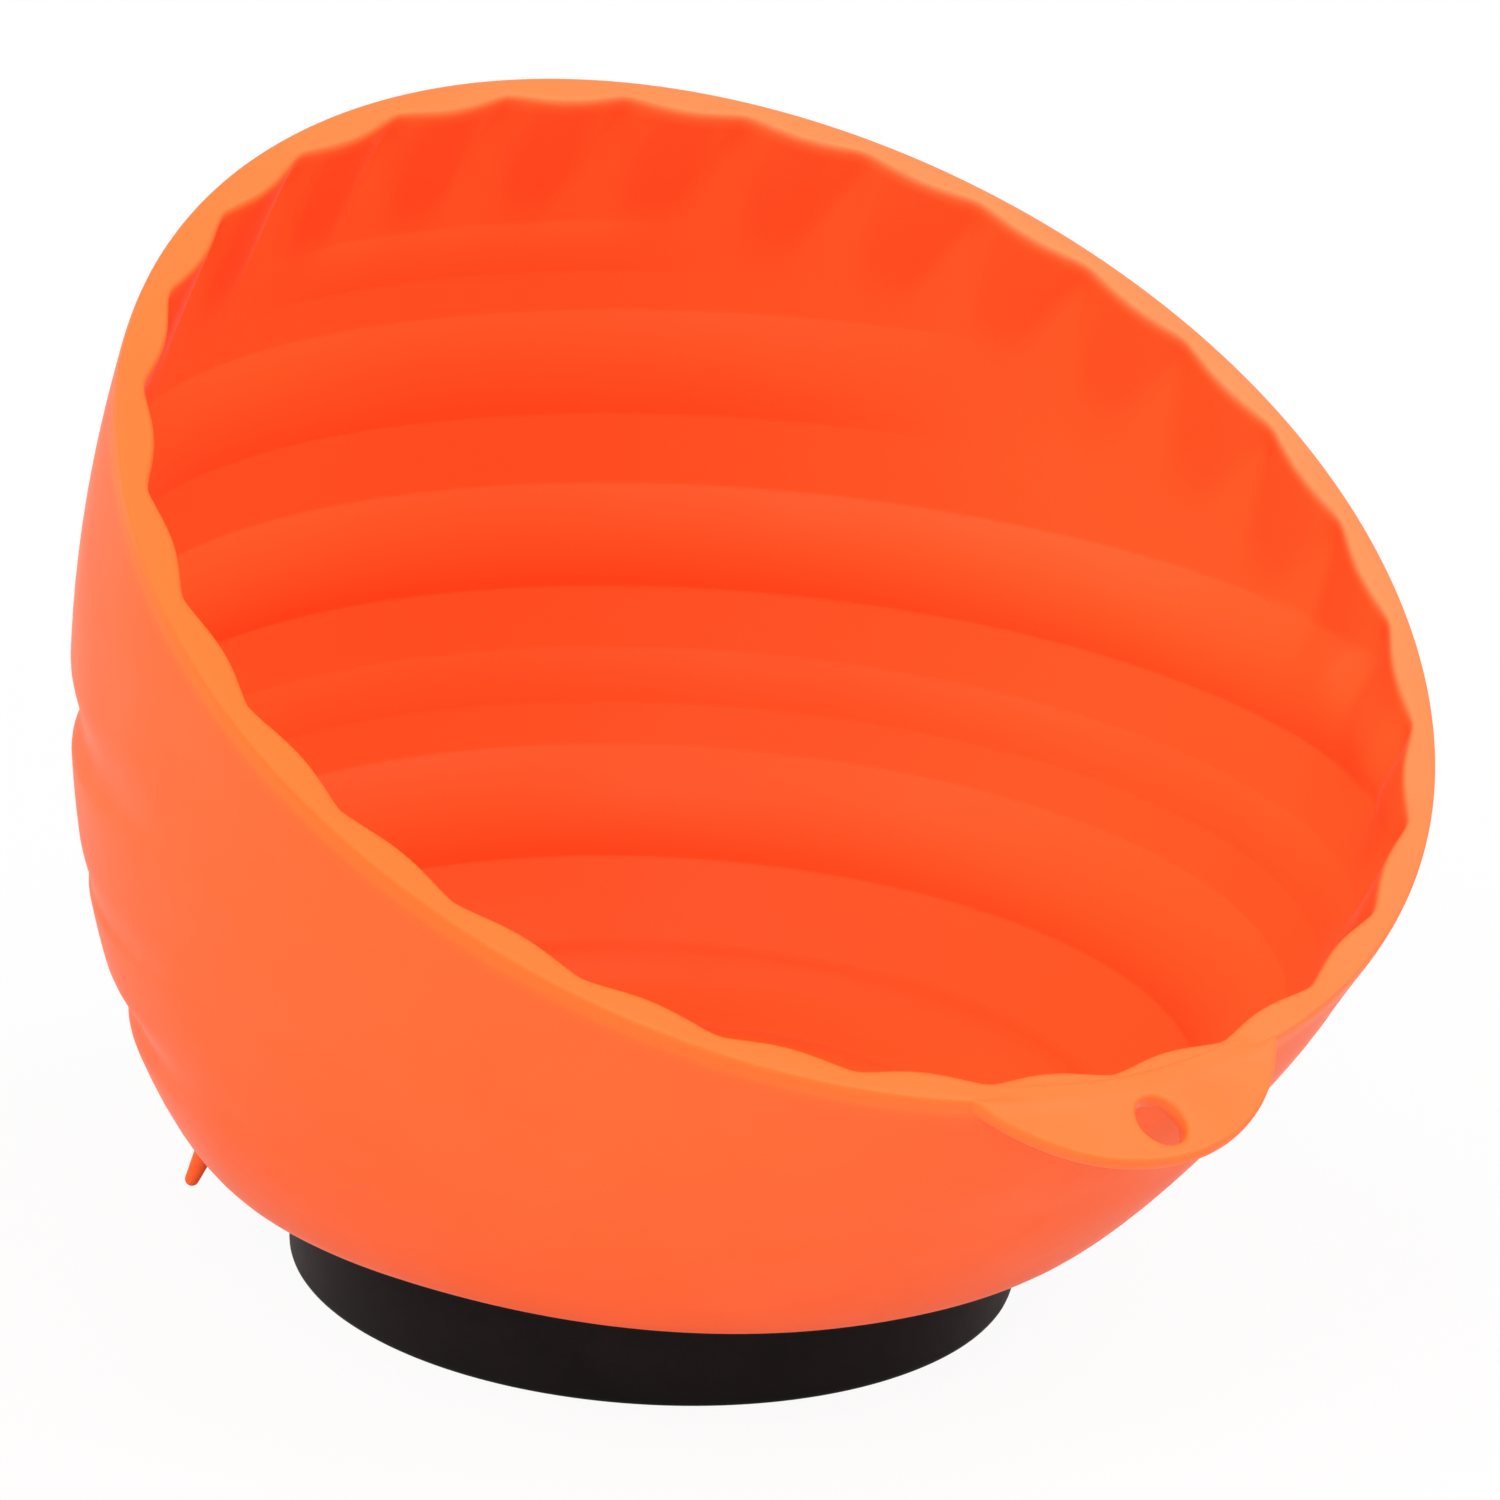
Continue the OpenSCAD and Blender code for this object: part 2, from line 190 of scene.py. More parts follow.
class Paint:
    """A material or world whose nodes are added from code."""

    def __init__(self, block):
        block.use_nodes = True
        self.tree = block.node_tree
        self.tree.nodes.clear()

    def add(self, kind, settings=None, sockets=None, out=0):
        node = self.tree.nodes.new(kind)
        for name, value in (settings or {}).items():
            setattr(node, name, value)
        for name, value in (sockets or {}).items():
            if isinstance(value, Value):
                self.tree.links.new(value.socket, node.inputs[name])
            else:
                node.inputs[name].default_value = value
        return Value(self, node.outputs[out]) if len(node.outputs) else None

    def place(self):
        return self.add("ShaderNodeTexCoord", out="Object")

    def share(self, name):
        return self.add("ShaderNodeAttribute", {"attribute_name": name}, out="Fac")

    def ray(self, kind):
        return self.add("ShaderNodeLightPath", out=kind)

    def noise(self, scale, detail=2.0, rough=0.5, at=None):
        sockets = {"Vector": at or self.place(), "Scale": scale, "Detail": detail, "Roughness": rough}
        return self.add("ShaderNodeTexNoise", {"noise_dimensions": "3D"}, sockets)

    def mix(self, share, first, second):
        sockets = {0: share, 6: first, 7: second}
        return self.add("ShaderNodeMix", {"data_type": "RGBA"}, sockets, out=2)

    def range(self, value, low, high, to_low, to_high):
        sockets = {0: value, 1: low, 2: high, 3: to_low, 4: to_high}
        return self.add("ShaderNodeMapRange", {"clamp": True}, sockets)

    def bump(self, height, strength, distance):
        return self.add(
            "ShaderNodeBump", None, {"Height": height, "Strength": strength, "Distance": distance}
        )

    def finish(self, **sockets):
        named = {name.replace("_", " "): value for name, value in sockets.items()}
        shader = self.add("ShaderNodeBsdfPrincipled", None, named)
        self.add("ShaderNodeOutputMaterial", None, {"Surface": shader})


def rgba(shade, share=1.0):
    return (*(min(1.0, part * share) for part in shade), 1.0)


def silicone_paint(colours):
    """Matt moulded silicone: soft mottling, a fine eroded grain, painted shade on the ribs, a painted glow
    along the rim edge and a painted highlight on the rim at the back right.
    """
    block = bpy.data.materials.new("moulded_silicone")
    paint = Paint(block)
    edge, pale, rib = (paint.share(name) for name in ("rim_edge_glow", "rim_highlight", "rib"))
    cloud = paint.noise(scale=70, detail=3.0, rough=0.55)
    speck = paint.noise(scale=2600, rough=0.6)
    # painted shade darkens the ribs under the rim
    base = paint.mix(rib * 0.55, rgba(colours.silicone), rgba(colours.silicone_rib_shade))
    # painted glow of light through the thin rim edge
    base = paint.mix(edge, base, rgba(colours.silicone_edge_glow))
    # painted highlight on the rim, palest at the back right
    base = paint.mix(pale, base, rgba(colours.silicone_rim_highlight))
    deep = paint.range(cloud, 0.35, 0.7, 0.0, 0.10)
    base = paint.mix(deep, base, rgba(colours.silicone, 0.82))
    grain = paint.range(speck, 0.3, 0.75, 0.0, 0.07)
    base = paint.mix(grain, base, rgba(colours.silicone_grain))
    paint.finish(
        Base_Color=base,
        Roughness=paint.range(cloud, 0.3, 0.7, 0.44, 0.54) + speck * 0.05,
        IOR=1.43,
        Specular_IOR_Level=0.17,
        Sheen_Weight=0.14,
        Sheen_Roughness=0.2,
        Coat_Weight=edge * 0.08,
        Coat_Roughness=0.32,
        Normal=paint.bump(speck, 0.12, 0.06 * MM),
    )
    return block


def rubber_paint(colours):
    """Black moulded rubber with a faint haze and a fine texture."""
    block = bpy.data.materials.new("black_rubber")
    paint = Paint(block)
    haze = paint.noise(scale=120, detail=4.0, rough=0.6)
    speck = paint.noise(scale=3200, rough=0.6)
    hazy = paint.range(haze, 0.3, 0.75, 0.0, 1.0)
    base = paint.mix(hazy, rgba(colours.rubber), rgba(colours.rubber, 1.7))
    paint.finish(
        Base_Color=base,
        Roughness=paint.range(haze, 0.3, 0.7, 0.42, 0.55),
        Specular_IOR_Level=0.09,
        Normal=paint.bump(speck, 0.18, 0.05 * MM),
    )
    return block


def ferrite_paint(colours):
    """Dull sintered ferrite with grey grinding dust."""
    block = bpy.data.materials.new("sintered_ferrite")
    paint = Paint(block)
    pores = paint.noise(scale=1400, detail=4.0, rough=0.65)
    dust = paint.noise(scale=160, detail=3.0, rough=0.6)
    dusty = paint.range(dust, 0.4, 0.8, 0.0, 0.6)
    base = paint.mix(dusty, rgba(colours.ferrite), rgba(colours.ferrite, 2.2))
    paint.finish(
        Base_Color=base,
        Roughness=paint.range(pores, 0.3, 0.7, 0.62, 0.8),
        Normal=paint.bump(pores, 0.3, 0.06 * MM),
    )
    return block


def zinc_paint(colours):
    """Zinc plate over turned steel: fine rings, cloudy spangle and dull spots."""
    block = bpy.data.materials.new("bright_zinc")
    paint = Paint(block)
    place = paint.place()
    turning = paint.add(
        "ShaderNodeTexWave",
        {"wave_type": "RINGS", "rings_direction": "Z"},
        {"Vector": place, "Scale": 900.0, "Distortion": 1.5, "Detail": 2.0, "Detail Scale": 3.0},
        out=1,
    )
    spangle = paint.noise(scale=260, detail=3.0, rough=0.6, at=place)
    bright = paint.range(spangle, 0.3, 0.75, 0.0, 1.0)
    base = paint.mix(bright, rgba(colours.zinc, 0.86), rgba(colours.zinc, 1.08))
    paint.finish(
        Base_Color=base,
        Metallic=1.0,
        Roughness=paint.range(spangle, 0.3, 0.7, 0.26, 0.4) + turning * 0.05,
        Normal=paint.bump(turning, 0.06, 0.02 * MM),
    )
    return block


# Modelling

# meridians of the smaller turned pieces
TAB_STEPS, PEG_STEPS, PLATE_STEPS, SCREW_STEPS, BOOT_STEPS = 192, 48, 128, 64, 192


def deselect():
    if bpy.context.mode != "OBJECT":
        bpy.ops.object.mode_set(mode="OBJECT")
    bpy.ops.object.select_all(action="DESELECT")


def turned(name, profile, steps, closed=True):
    """A circle drawn out to a profile of (radius, height) points, then spun round the upright axis."""
    deselect()
    bpy.ops.mesh.primitive_circle_add(vertices=len(profile), radius=1.0, fill_type="NOTHING")
    piece = bpy.context.active_object
    piece.name = piece.data.name = name
    for vertex, (radius, height) in zip(piece.data.vertices, profile):
        vertex.co = (radius, 0.0, height)
    station = piece.data.attributes.new("station", "INT", "POINT")
    station.data.foreach_set("value", np.arange(len(profile), dtype=np.int32))
    bpy.ops.object.mode_set(mode="EDIT")
    if not closed:
        bpy.ops.mesh.select_mode(type="EDGE")
        bpy.ops.mesh.select_all(action="DESELECT")
        outline = bmesh.from_edit_mesh(piece.data)
        ends = {0, len(profile) - 1}
        for edge in outline.edges:
            edge.select = {vertex.index for vertex in edge.verts} == ends
        bmesh.update_edit_mesh(piece.data)
        bpy.ops.mesh.delete(type="EDGE")
    bpy.ops.mesh.select_mode(type="VERT")
    bpy.ops.mesh.select_all(action="SELECT")
    bpy.ops.mesh.spin(steps=steps, angle=math.tau, center=(0, 0, 0), axis=(0, 0, 1))
    bpy.ops.mesh.select_all(action="SELECT")
    bpy.ops.mesh.remove_doubles(threshold=1e-6)
    bpy.ops.mesh.normals_make_consistent(inside=False)
    bpy.ops.object.mode_set(mode="OBJECT")
    bpy.ops.object.shade_smooth()
    return piece


def closed_loop(count):
    """A plain round profile of so many points, clear of the axis, for a skin shaped after its spin."""
    size = 20 * MM
    angles = np.arange(count) * math.tau / count
    return [(size * (2 + math.cos(a)), size * math.sin(a)) for a in angles]


def stations(piece):
    """Each vertex's place in the profile it was spun from, and its turn round the axis."""
    count = len(piece.data.vertices)
    index = np.empty(count, np.int32)
    piece.data.attributes["station"].data.foreach_get("value", index)
    points = np.empty(count * 3)
    piece.data.vertices.foreach_get("co", points)
    points = points.reshape(-1, 3)
    return index, np.arctan2(points[:, 1], points[:, 0]) % math.tau


def settle(piece, points):
    """Moves the vertices to their last places and turns every face outwards."""
    piece.data.vertices.foreach_set("co", np.asarray(points, float).ravel())
    piece.data.attributes.remove(piece.data.attributes["station"])
    deselect()
    piece.select_set(True)
    bpy.context.view_layer.objects.active = piece
    bpy.ops.object.mode_set(mode="EDIT")
    bpy.ops.mesh.select_all(action="SELECT")
    bpy.ops.mesh.normals_make_consistent(inside=False)
    bpy.ops.object.mode_set(mode="OBJECT")
    piece.data.update()


def painted(piece, block):
    piece.data.materials.clear()
    piece.data.materials.append(block)


def keep_shares(piece, name, shares):
    """Keeps a share from 0 to 1 on every vertex, for the paint to read."""
    shade = piece.data.attributes.new(name, "FLOAT", "POINT")
    shade.data.foreach_set("value", np.asarray(shares, np.float32))


def ease(x):
    x = np.clip(x, 0.0, 1.0)
    return x * x * (3 - 2 * x)


def highlight_round_rim(turn):
    """How strongly the painted highlight shows on the rim on its way round: most at the back right."""
    highlight_turn, falloff = math.radians(20), 1.3
    return (0.5 + 0.5 * np.cos(turn - highlight_turn)) ** falloff


def fillet(start, corner, end, share):
    """A point on the curve that rounds a corner."""
    share = np.asarray(share)[..., None]
    return (1 - share) ** 2 * start + 2 * share * (1 - share) * corner + share**2 * end


class BowlShape:
    """The bowl as rings that lean and tip forward as they rise, cut off by the rim's slanting plane."""

    # how full the side is, and the share of the lean that is a straight line
    FLARE = 0.8
    LEAN_LINE = 0.61
    # each roll from the floor up: start and end (shares of the belly's height), depth, and how far
    # back on the wall it begins and is full (sines of the turn)
    ROLLS = (
        (0.279, 0.405, 1.0, -2, -1),
        (0.455, 0.519, 0.19, -2, -1),
        (0.592, 0.715, 0.88, -2, -1),
        (0.799, 0.923, 0.565, 0.5, 0.91),
        (0.970, 1.03, 0.2, 0.9, 0.985),
    )
    # height of the ledge above the floor, as a share of the belly's height
    LEDGE = 0.189
    # straight part of the drop from the ledge to the floor
    LEDGE_SLOPE = 1.6 * MM
    # top, deepest place and bottom (shares of the belly's height), depth and sharpness of each groove
    GROOVES = (
        (0.388, 0.329, 0.278, 1.0, 1.4),
        (0.518, 0.470, 0.449, 0.3, 1.0),
        (0.716, 0.644, 0.609, 0.95, 1.0),
    )
    # share of a groove's depth that is left at the front, and the sine of the turn where it is full
    GROOVE_FRONT, GROOVE_FULL = 0.12, 0.35
    # length of the ribs between the flutes, at the flutes and at their crests, how round their ends
    # are, and how softly they leave the wall
    RIB_LOW, RIB_HIGH = 3.0 * MM, 14.7 * MM
    RIB_ROUND, RIB_SOFT = 2.5, 0.3 * MM
    # distances below the rim over which the wall draws back, and where it comes forward again
    RECESS_FULL, RECESS_END, RECESS_FADE = 3 * MM, 30 * MM, 14 * MM
    # how broad the flutes' crests are
    FLUTE_POWER = 0.65
    # the flutes stand unevenly round the rim: even part, then first and second waves, in degrees
    UNEVEN = (-0.21, 1.72, 1.78, 1.19, -1.09)
    # the sag's reach above the foot, its end up the wall, its fades there and below the rim, its
    # place round the bowl and its spread
    SAG_FOOT, SAG_END, SAG_FADE, SAG_RIM = 3.5 * MM, 62 * MM, 24 * MM, 10 * MM
    SAG_TURN, SAG_SPREAD = math.radians(290), 0.8

    def __init__(self, sizes):
        self.sizes = sizes
        self.foot = sizes.foot_d / 2
        self.heel = sizes.heel_d / 2
        self.belly = sizes.belly_d / 2

    def ring(self, s, foot, heel):
        """Radius of the ring at a height: a sloping underside up to the heel, then the flaring side."""
        rise = np.clip((s - heel) / (self.sizes.belly_z - heel), 0, 1)
        side = self.heel + (self.belly - self.heel) * (1 - (1 - rise) ** 2) ** self.FLARE
        return np.where(s < heel, self.foot + (self.heel - self.foot) * (s - foot) / (heel - foot), side)

    def side(self, s):
        return self.ring(s, self.sizes.foot_z, self.sizes.foot_z + self.sizes.heel_rise)

    def hollow(self, s):
        """Inner radius: it flares as the outside does, over a ledge and a hollow curve to the floor."""
        z = self.sizes
        heel, ledge = z.floor_z + z.heel_rise, self.LEDGE * z.belly_z
        brink = self.ring(np.array(ledge), z.floor_z, heel) - z.wall
        down = np.clip((ledge - s) / (ledge - z.floor_z), 0, 1)
        reach = brink - self.LEDGE_SLOPE - self.foot + z.wall
        curve = brink - self.LEDGE_SLOPE * down - reach * (1 - np.sqrt(1 - down**2))
        return np.where(s < ledge, curve, self.ring(s, z.floor_z, heel) - z.wall)

    def point(self, s, turn, radius):
        climb = np.maximum(s - self.sizes.floor_z, 0) / (self.sizes.belly_z - self.sizes.floor_z)
        middle = -self.sizes.lean * (self.LEAN_LINE * climb + (1 - self.LEAN_LINE) * climb**2)
        tip = self.sizes.tip * climb
        ahead = radius * np.sin(turn)
        return np.stack([radius * np.cos(turn), middle + ahead * np.cos(tip), s + ahead * np.sin(tip)], -1)

    def roll(self, s, turn):
        total = 0.0
        for start, end, depth, begins, full in self.ROLLS:
            x = np.clip((s / self.sizes.belly_z - start) / (end - start), 0, 1)
            total = total + depth * 4 * x * (1 - x) * ease((np.sin(turn) - begins) / (full - begins))
        return self.sizes.roll_depth * total

    def groove(self, s, turn):
        """Grooves that stand out at the back of the wall and all but fade towards its front."""
        share = s / self.sizes.belly_z
        total = 0.0
        for top, deepest, bottom, depth, sharp in self.GROOVES:
            above, under = (top - share) / (top - deepest), (share - bottom) / (deepest - bottom)
            x = np.where(share > deepest, above, under)
            total = total + depth * ease(np.clip(x, 0, 1) ** sharp)
        seen = self.GROOVE_FRONT + (1 - self.GROOVE_FRONT) * ease(np.sin(turn) / self.GROOVE_FULL)
        return self.sizes.groove_depth * total * seen

    def wave(self, turn):
        even, cos1, sin1, cos2, sin2 = self.UNEVEN
        shift = even + cos1 * np.cos(turn) + sin1 * np.sin(turn)
        shift = shift + cos2 * np.cos(2 * turn) + sin2 * np.sin(2 * turn)
        return (1 + np.cos(self.sizes.flutes * (turn - np.radians(shift)))) / 2

    def flute(self, turn):
        return self.sizes.flute_depth * self.wave(turn) ** self.FLUTE_POWER

    def outer(self, s, turn, below):
        return self.side(s) - self.groove(s, turn) * ease(below / self.sizes.roll_fade)

    def sag(self, s, turn, below):
        """How far the outside hangs below its ring: most at the right front, none at the foot or rim."""
        z = self.sizes
        low = ease((s - z.foot_z) / self.SAG_FOOT) * ease((self.SAG_END - s) / self.SAG_FADE)
        side = ease(np.cos(turn - self.SAG_TURN) / self.SAG_SPREAD)
        return z.sag * low * side * ease((below - z.edge_high) / self.SAG_RIM)

    def inner(self, s, turn, below):
        z = self.sizes
        slope, recess = self.rib(s, turn, below)
        soft = self.RIB_SOFT**2 * ease(below / MM)
        ribbed = (slope + recess + np.sqrt((slope - recess) ** 2 + soft)) / 2
        return self.hollow(s) - self.roll(s, turn) * ease(below / z.roll_fade) - ribbed

    def rib(self, s, turn, below):
        """How far the ribs between the flutes stand in from the wall, and the wall between them."""
        z = self.sizes
        rim = z.rim_width + z.edge_in - self.side(s) + self.hollow(s) + self.flute(turn)
        drawn = ease((self.RECESS_END - below) / self.RECESS_FADE) * ease(below / self.RECESS_FULL)
        recess = -z.flute_recess * drawn
        long = self.RIB_LOW + (self.RIB_HIGH - self.RIB_LOW) * (1 - (1 - self.wave(turn)) ** self.RIB_ROUND)
        fall = (z.rim_width + z.edge_in - z.wall + self.flute(turn) + z.flute_recess) / long
        return rim - fall * below, recess

    def rim_height(self, turn, radius):
        """The ring that meets the rim's plane on each meridian, found by stepping towards it."""
        s = np.full_like(turn, self.sizes.belly_z)
        slope = math.tan(self.sizes.rim_tilt)
        for _ in range(60):
            p = self.point(s, turn, radius(s, turn))
            s = s + 0.5 * (self.sizes.rim_z + p[..., 1] * slope - p[..., 2])
        return s

    def outer_edge(self, turn):
        return self.rim_height(turn, lambda s, t: self.side(s))

    def flat_edge(self, turn):
        """Where the rim's flat top begins, inside its rounded edge."""
        return self.rim_height(turn, lambda s, t: self.side(s) - self.sizes.edge_in)

    def inner_edge(self, turn):
        return self.rim_height(turn, lambda s, t: self.inner(s, t, np.zeros_like(s)))


def wall_rows(shape, inside, top):
    """Heights of the rows up one side of the wall, close together where it rolls or creases."""
    z = shape.sizes
    row_gap, form_gap, widest_gap = 0.3 * MM, 0.2 * MM, 2.4 * MM
    forms = []
    if inside:
        ledge = shape.LEDGE * z.belly_z
        rows = [ledge - (ledge - z.floor_z) * math.cos(math.pi / 2 * k / 12) for k in range(13)]
        high_band = np.arange(106.0, 118.0, 0.8) * MM
        rows += [ledge + row_gap, *high_band]
        for start, end, depth, *_ in shape.ROLLS:
            steps = 13 if depth > 0.5 else 9
            rise = [(1 - math.cos(math.pi * k / steps)) / 2 for k in range(steps + 1)]
            margin = 0.0025
            forms.append([start - margin, *(start + (end - start) * x for x in rise), end + margin])
    else:
        heel, heel_turn = z.foot_z + z.heel_rise, 5 * MM
        rows = [z.foot_z + (heel - z.foot_z) * k / 5 for k in range(5)]
        rows += [heel + heel_turn * (k / 5) ** 1.6 for k in range(6)]
        for crest, deepest, bottom, *_ in shape.GROOVES:
            lower = [bottom + (deepest - bottom) * k / 6 for k in range(6)]
            forms.append([*lower, deepest, *(deepest + (crest - deepest) * k / 6 for k in range(1, 7))])
    forms = [np.array(form) * z.belly_z for form in forms]
    taken = [(form[0] - form_gap, form[-1] + form_gap) for form in forms]
    rows = [s for s in rows if not any(first < s < last for first, last in taken)]
    for form in forms:
        rows += list(form)
    rows = sorted(s for s in rows if s < top - row_gap)
    filled = []
    for here, following in zip(rows, rows[1:] + [top]):
        count = max(1, round((following - here) / widest_gap))
        filled += [here + (following - here) * k / count for k in range(count)]
    return np.array(filled + [top])


def skin_plan(shape, outer_top, inner_top):
    """The bowl's profile from the screw hole out under the foot, up, over the rim and down to the floor."""
    z = shape.sizes
    hole, floor_edge = z.hole_d / 2, shape.foot - z.wall
    flat = (0.35, 0.7, 0.9)
    rill, rill_half = floor_edge - 0.7 * MM, 0.4 * MM
    plan = [("foot", hole)]
    plan += [("foot", hole + share * (shape.foot - hole)) for share in flat]
    plan += [("outer", s) for s in wall_rows(shape, False, outer_top)]
    plan += [("outer_edge", x) for x in np.linspace(0, 1, 7)[1:]]
    plan += [("top", x) for x in np.linspace(0, 1, 5)[1:]]
    plan += [("inner_edge", x) for x in np.linspace(0, 1, 6)[1:-1]]
    plan += [("inner", s) for s in wall_rows(shape, True, inner_top)[::-1]]
    plan += [("floor", rill + rill_half), ("rill", rill), ("floor", rill - rill_half)]
    plan += [("floor", hole + share * (floor_edge - hole)) for share in flat[::-1]]
    plan += [("floor", hole)]
    return plan


def squeezed(s, edge, top):
    """Rows for the highest part of the rim, drawn together into a band below a lower part of it."""
    share, widest = 0.7, 14 * MM
    band = np.minimum((edge - FOLD_HIGH) * share, widest)
    start = edge - band
    return np.where(s <= start, s, start + band * (s - start) / (top - start))


def bowl_skin(sizes):
    """One closed skin: foot, outer wall, rounded rim, fluted and rolled inner wall, floor."""
    shape = BowlShape(sizes)
    steps = sizes.spin_steps
    turns = np.arange(steps) * math.tau / steps
    outer_s, inner_s = shape.outer_edge(turns), shape.inner_edge(turns)
    outer_top, inner_top = outer_s.max() - sizes.edge_high, inner_s.max() - sizes.inner_edge
    plan = skin_plan(shape, outer_top, inner_top)
    piece = turned("silicone_bowl", closed_loop(len(plan)), steps)
    index, turn = stations(piece)
    meridian = np.rint(turn / math.tau * steps).astype(int) % steps
    kinds = np.array([kind for kind, _ in plan])[index]
    values = np.array([value for _, value in plan], float)[index]
    out_edge, in_edge = outer_s[meridian], inner_s[meridian]

    def outer_point(s):
        points = shape.point(s, turn, shape.outer(s, turn, out_edge - s))
        points[:, 2] -= shape.sag(s, turn, out_edge - s)
        return points

    def inner_point(s):
        return shape.point(s, turn, shape.inner(s, turn, in_edge - s))

    out_s = squeezed(values, out_edge - sizes.edge_high, outer_top)
    in_s = squeezed(values, in_edge - sizes.inner_edge, inner_top)
    out_corner = shape.point(out_edge, turn, shape.side(out_edge))
    in_corner = inner_point(in_edge)
    inward = in_corner - out_corner
    inward /= np.linalg.norm(inward, axis=1)[:, None]
    out_flat = out_corner + sizes.edge_in * inward
    in_flat = in_corner - sizes.inner_edge * inward
    rill_z = sizes.floor_z - 0.3 * MM
    level = np.select([kinds == "foot", kinds == "rill"], [sizes.foot_z, rill_z], sizes.floor_z)
    points = shape.point(level, turn, values)
    made = {
        "outer": outer_point(out_s),
        "inner": inner_point(in_s),
        "outer_edge": fillet(outer_point(out_edge - sizes.edge_high), out_corner, out_flat, values),
        "inner_edge": fillet(in_flat, in_corner, inner_point(in_edge - sizes.inner_edge), values),
        "top": out_flat + values[:, None] * (in_flat - out_flat),
    }
    for kind, place in made.items():
        points = np.where((kinds == kind)[:, None], place, points)
    settle(piece, points)
    bowl_shares(piece, shape, turn, kinds, out_edge - out_s, in_s, in_edge)
    return piece


def bowl_shares(piece, shape, turn, kinds, outer_below, in_s, in_edge):
    """Painted glow where the skin is thin along the rim, a painted highlight on it at the back right, and
    painted shade on the ribs under the rim, most at the left.
    """
    inner_fade, outer_fade, rib_full = 1.6 * MM, 3.2 * MM, 0.7 * MM
    inside = kinds == "inner"
    below = np.select([kinds == "outer", inside], [outer_below, in_edge - in_s], 0.0)
    # painted glow along the rim, fading down both sides of the wall
    glow = ease(1 - below / np.where(inside, inner_fade, outer_fade))
    glow = np.where(np.isin(kinds, ("foot", "floor", "rill")), 0.0, glow)
    keep_shares(piece, "rim_edge_glow", glow)
    # painted highlight: the glow drawn paler towards the back right
    keep_shares(piece, "rim_highlight", glow * highlight_round_rim(turn))
    slope, recess = shape.rib(in_s, turn, in_edge - in_s)
    # painted shade on the ribs' crests, strongest at the left
    crest = ease((shape.wave(turn) - 0.15) / 0.6)
    leftward = 0.65 - 0.35 * np.cos(turn)
    rib = ease((slope - recess) / rib_full) * crest * leftward
    keep_shares(piece, "rib", np.where(inside, rib, 0.0))


class RimPlane:
    """Places on the rim's slanting plane: across, up the slant and out of the plane from the low front."""

    def __init__(self, shape, turn):
        front = np.array([1.5 * math.pi])
        s = shape.flat_edge(front)
        self.origin = shape.point(s, front, shape.side(s))[0]
        tilt = shape.sizes.rim_tilt
        self.axes = np.array(
            [[1, 0, 0], [0, math.cos(tilt), math.sin(tilt)], [0, -math.sin(tilt), math.cos(tilt)]]
        )
        # a second point of the rim, 12 degrees on, gives its radius at the front
        near = front + math.radians(12)
        s = shape.flat_edge(near)
        step = (shape.point(s, near, shape.side(s))[0] - self.origin) @ self.axes.T
        self.radius = (step[0] ** 2 + step[1] ** 2) / (2 * step[1])
        self.turn = turn

    def points(self, across, up, out):
        cos, sin = math.cos(self.turn), math.sin(self.turn)
        up = up - self.radius
        local = np.stack([across * cos - up * sin, across * sin + up * cos + self.radius, out], -1)
        return self.origin + local @ self.axes


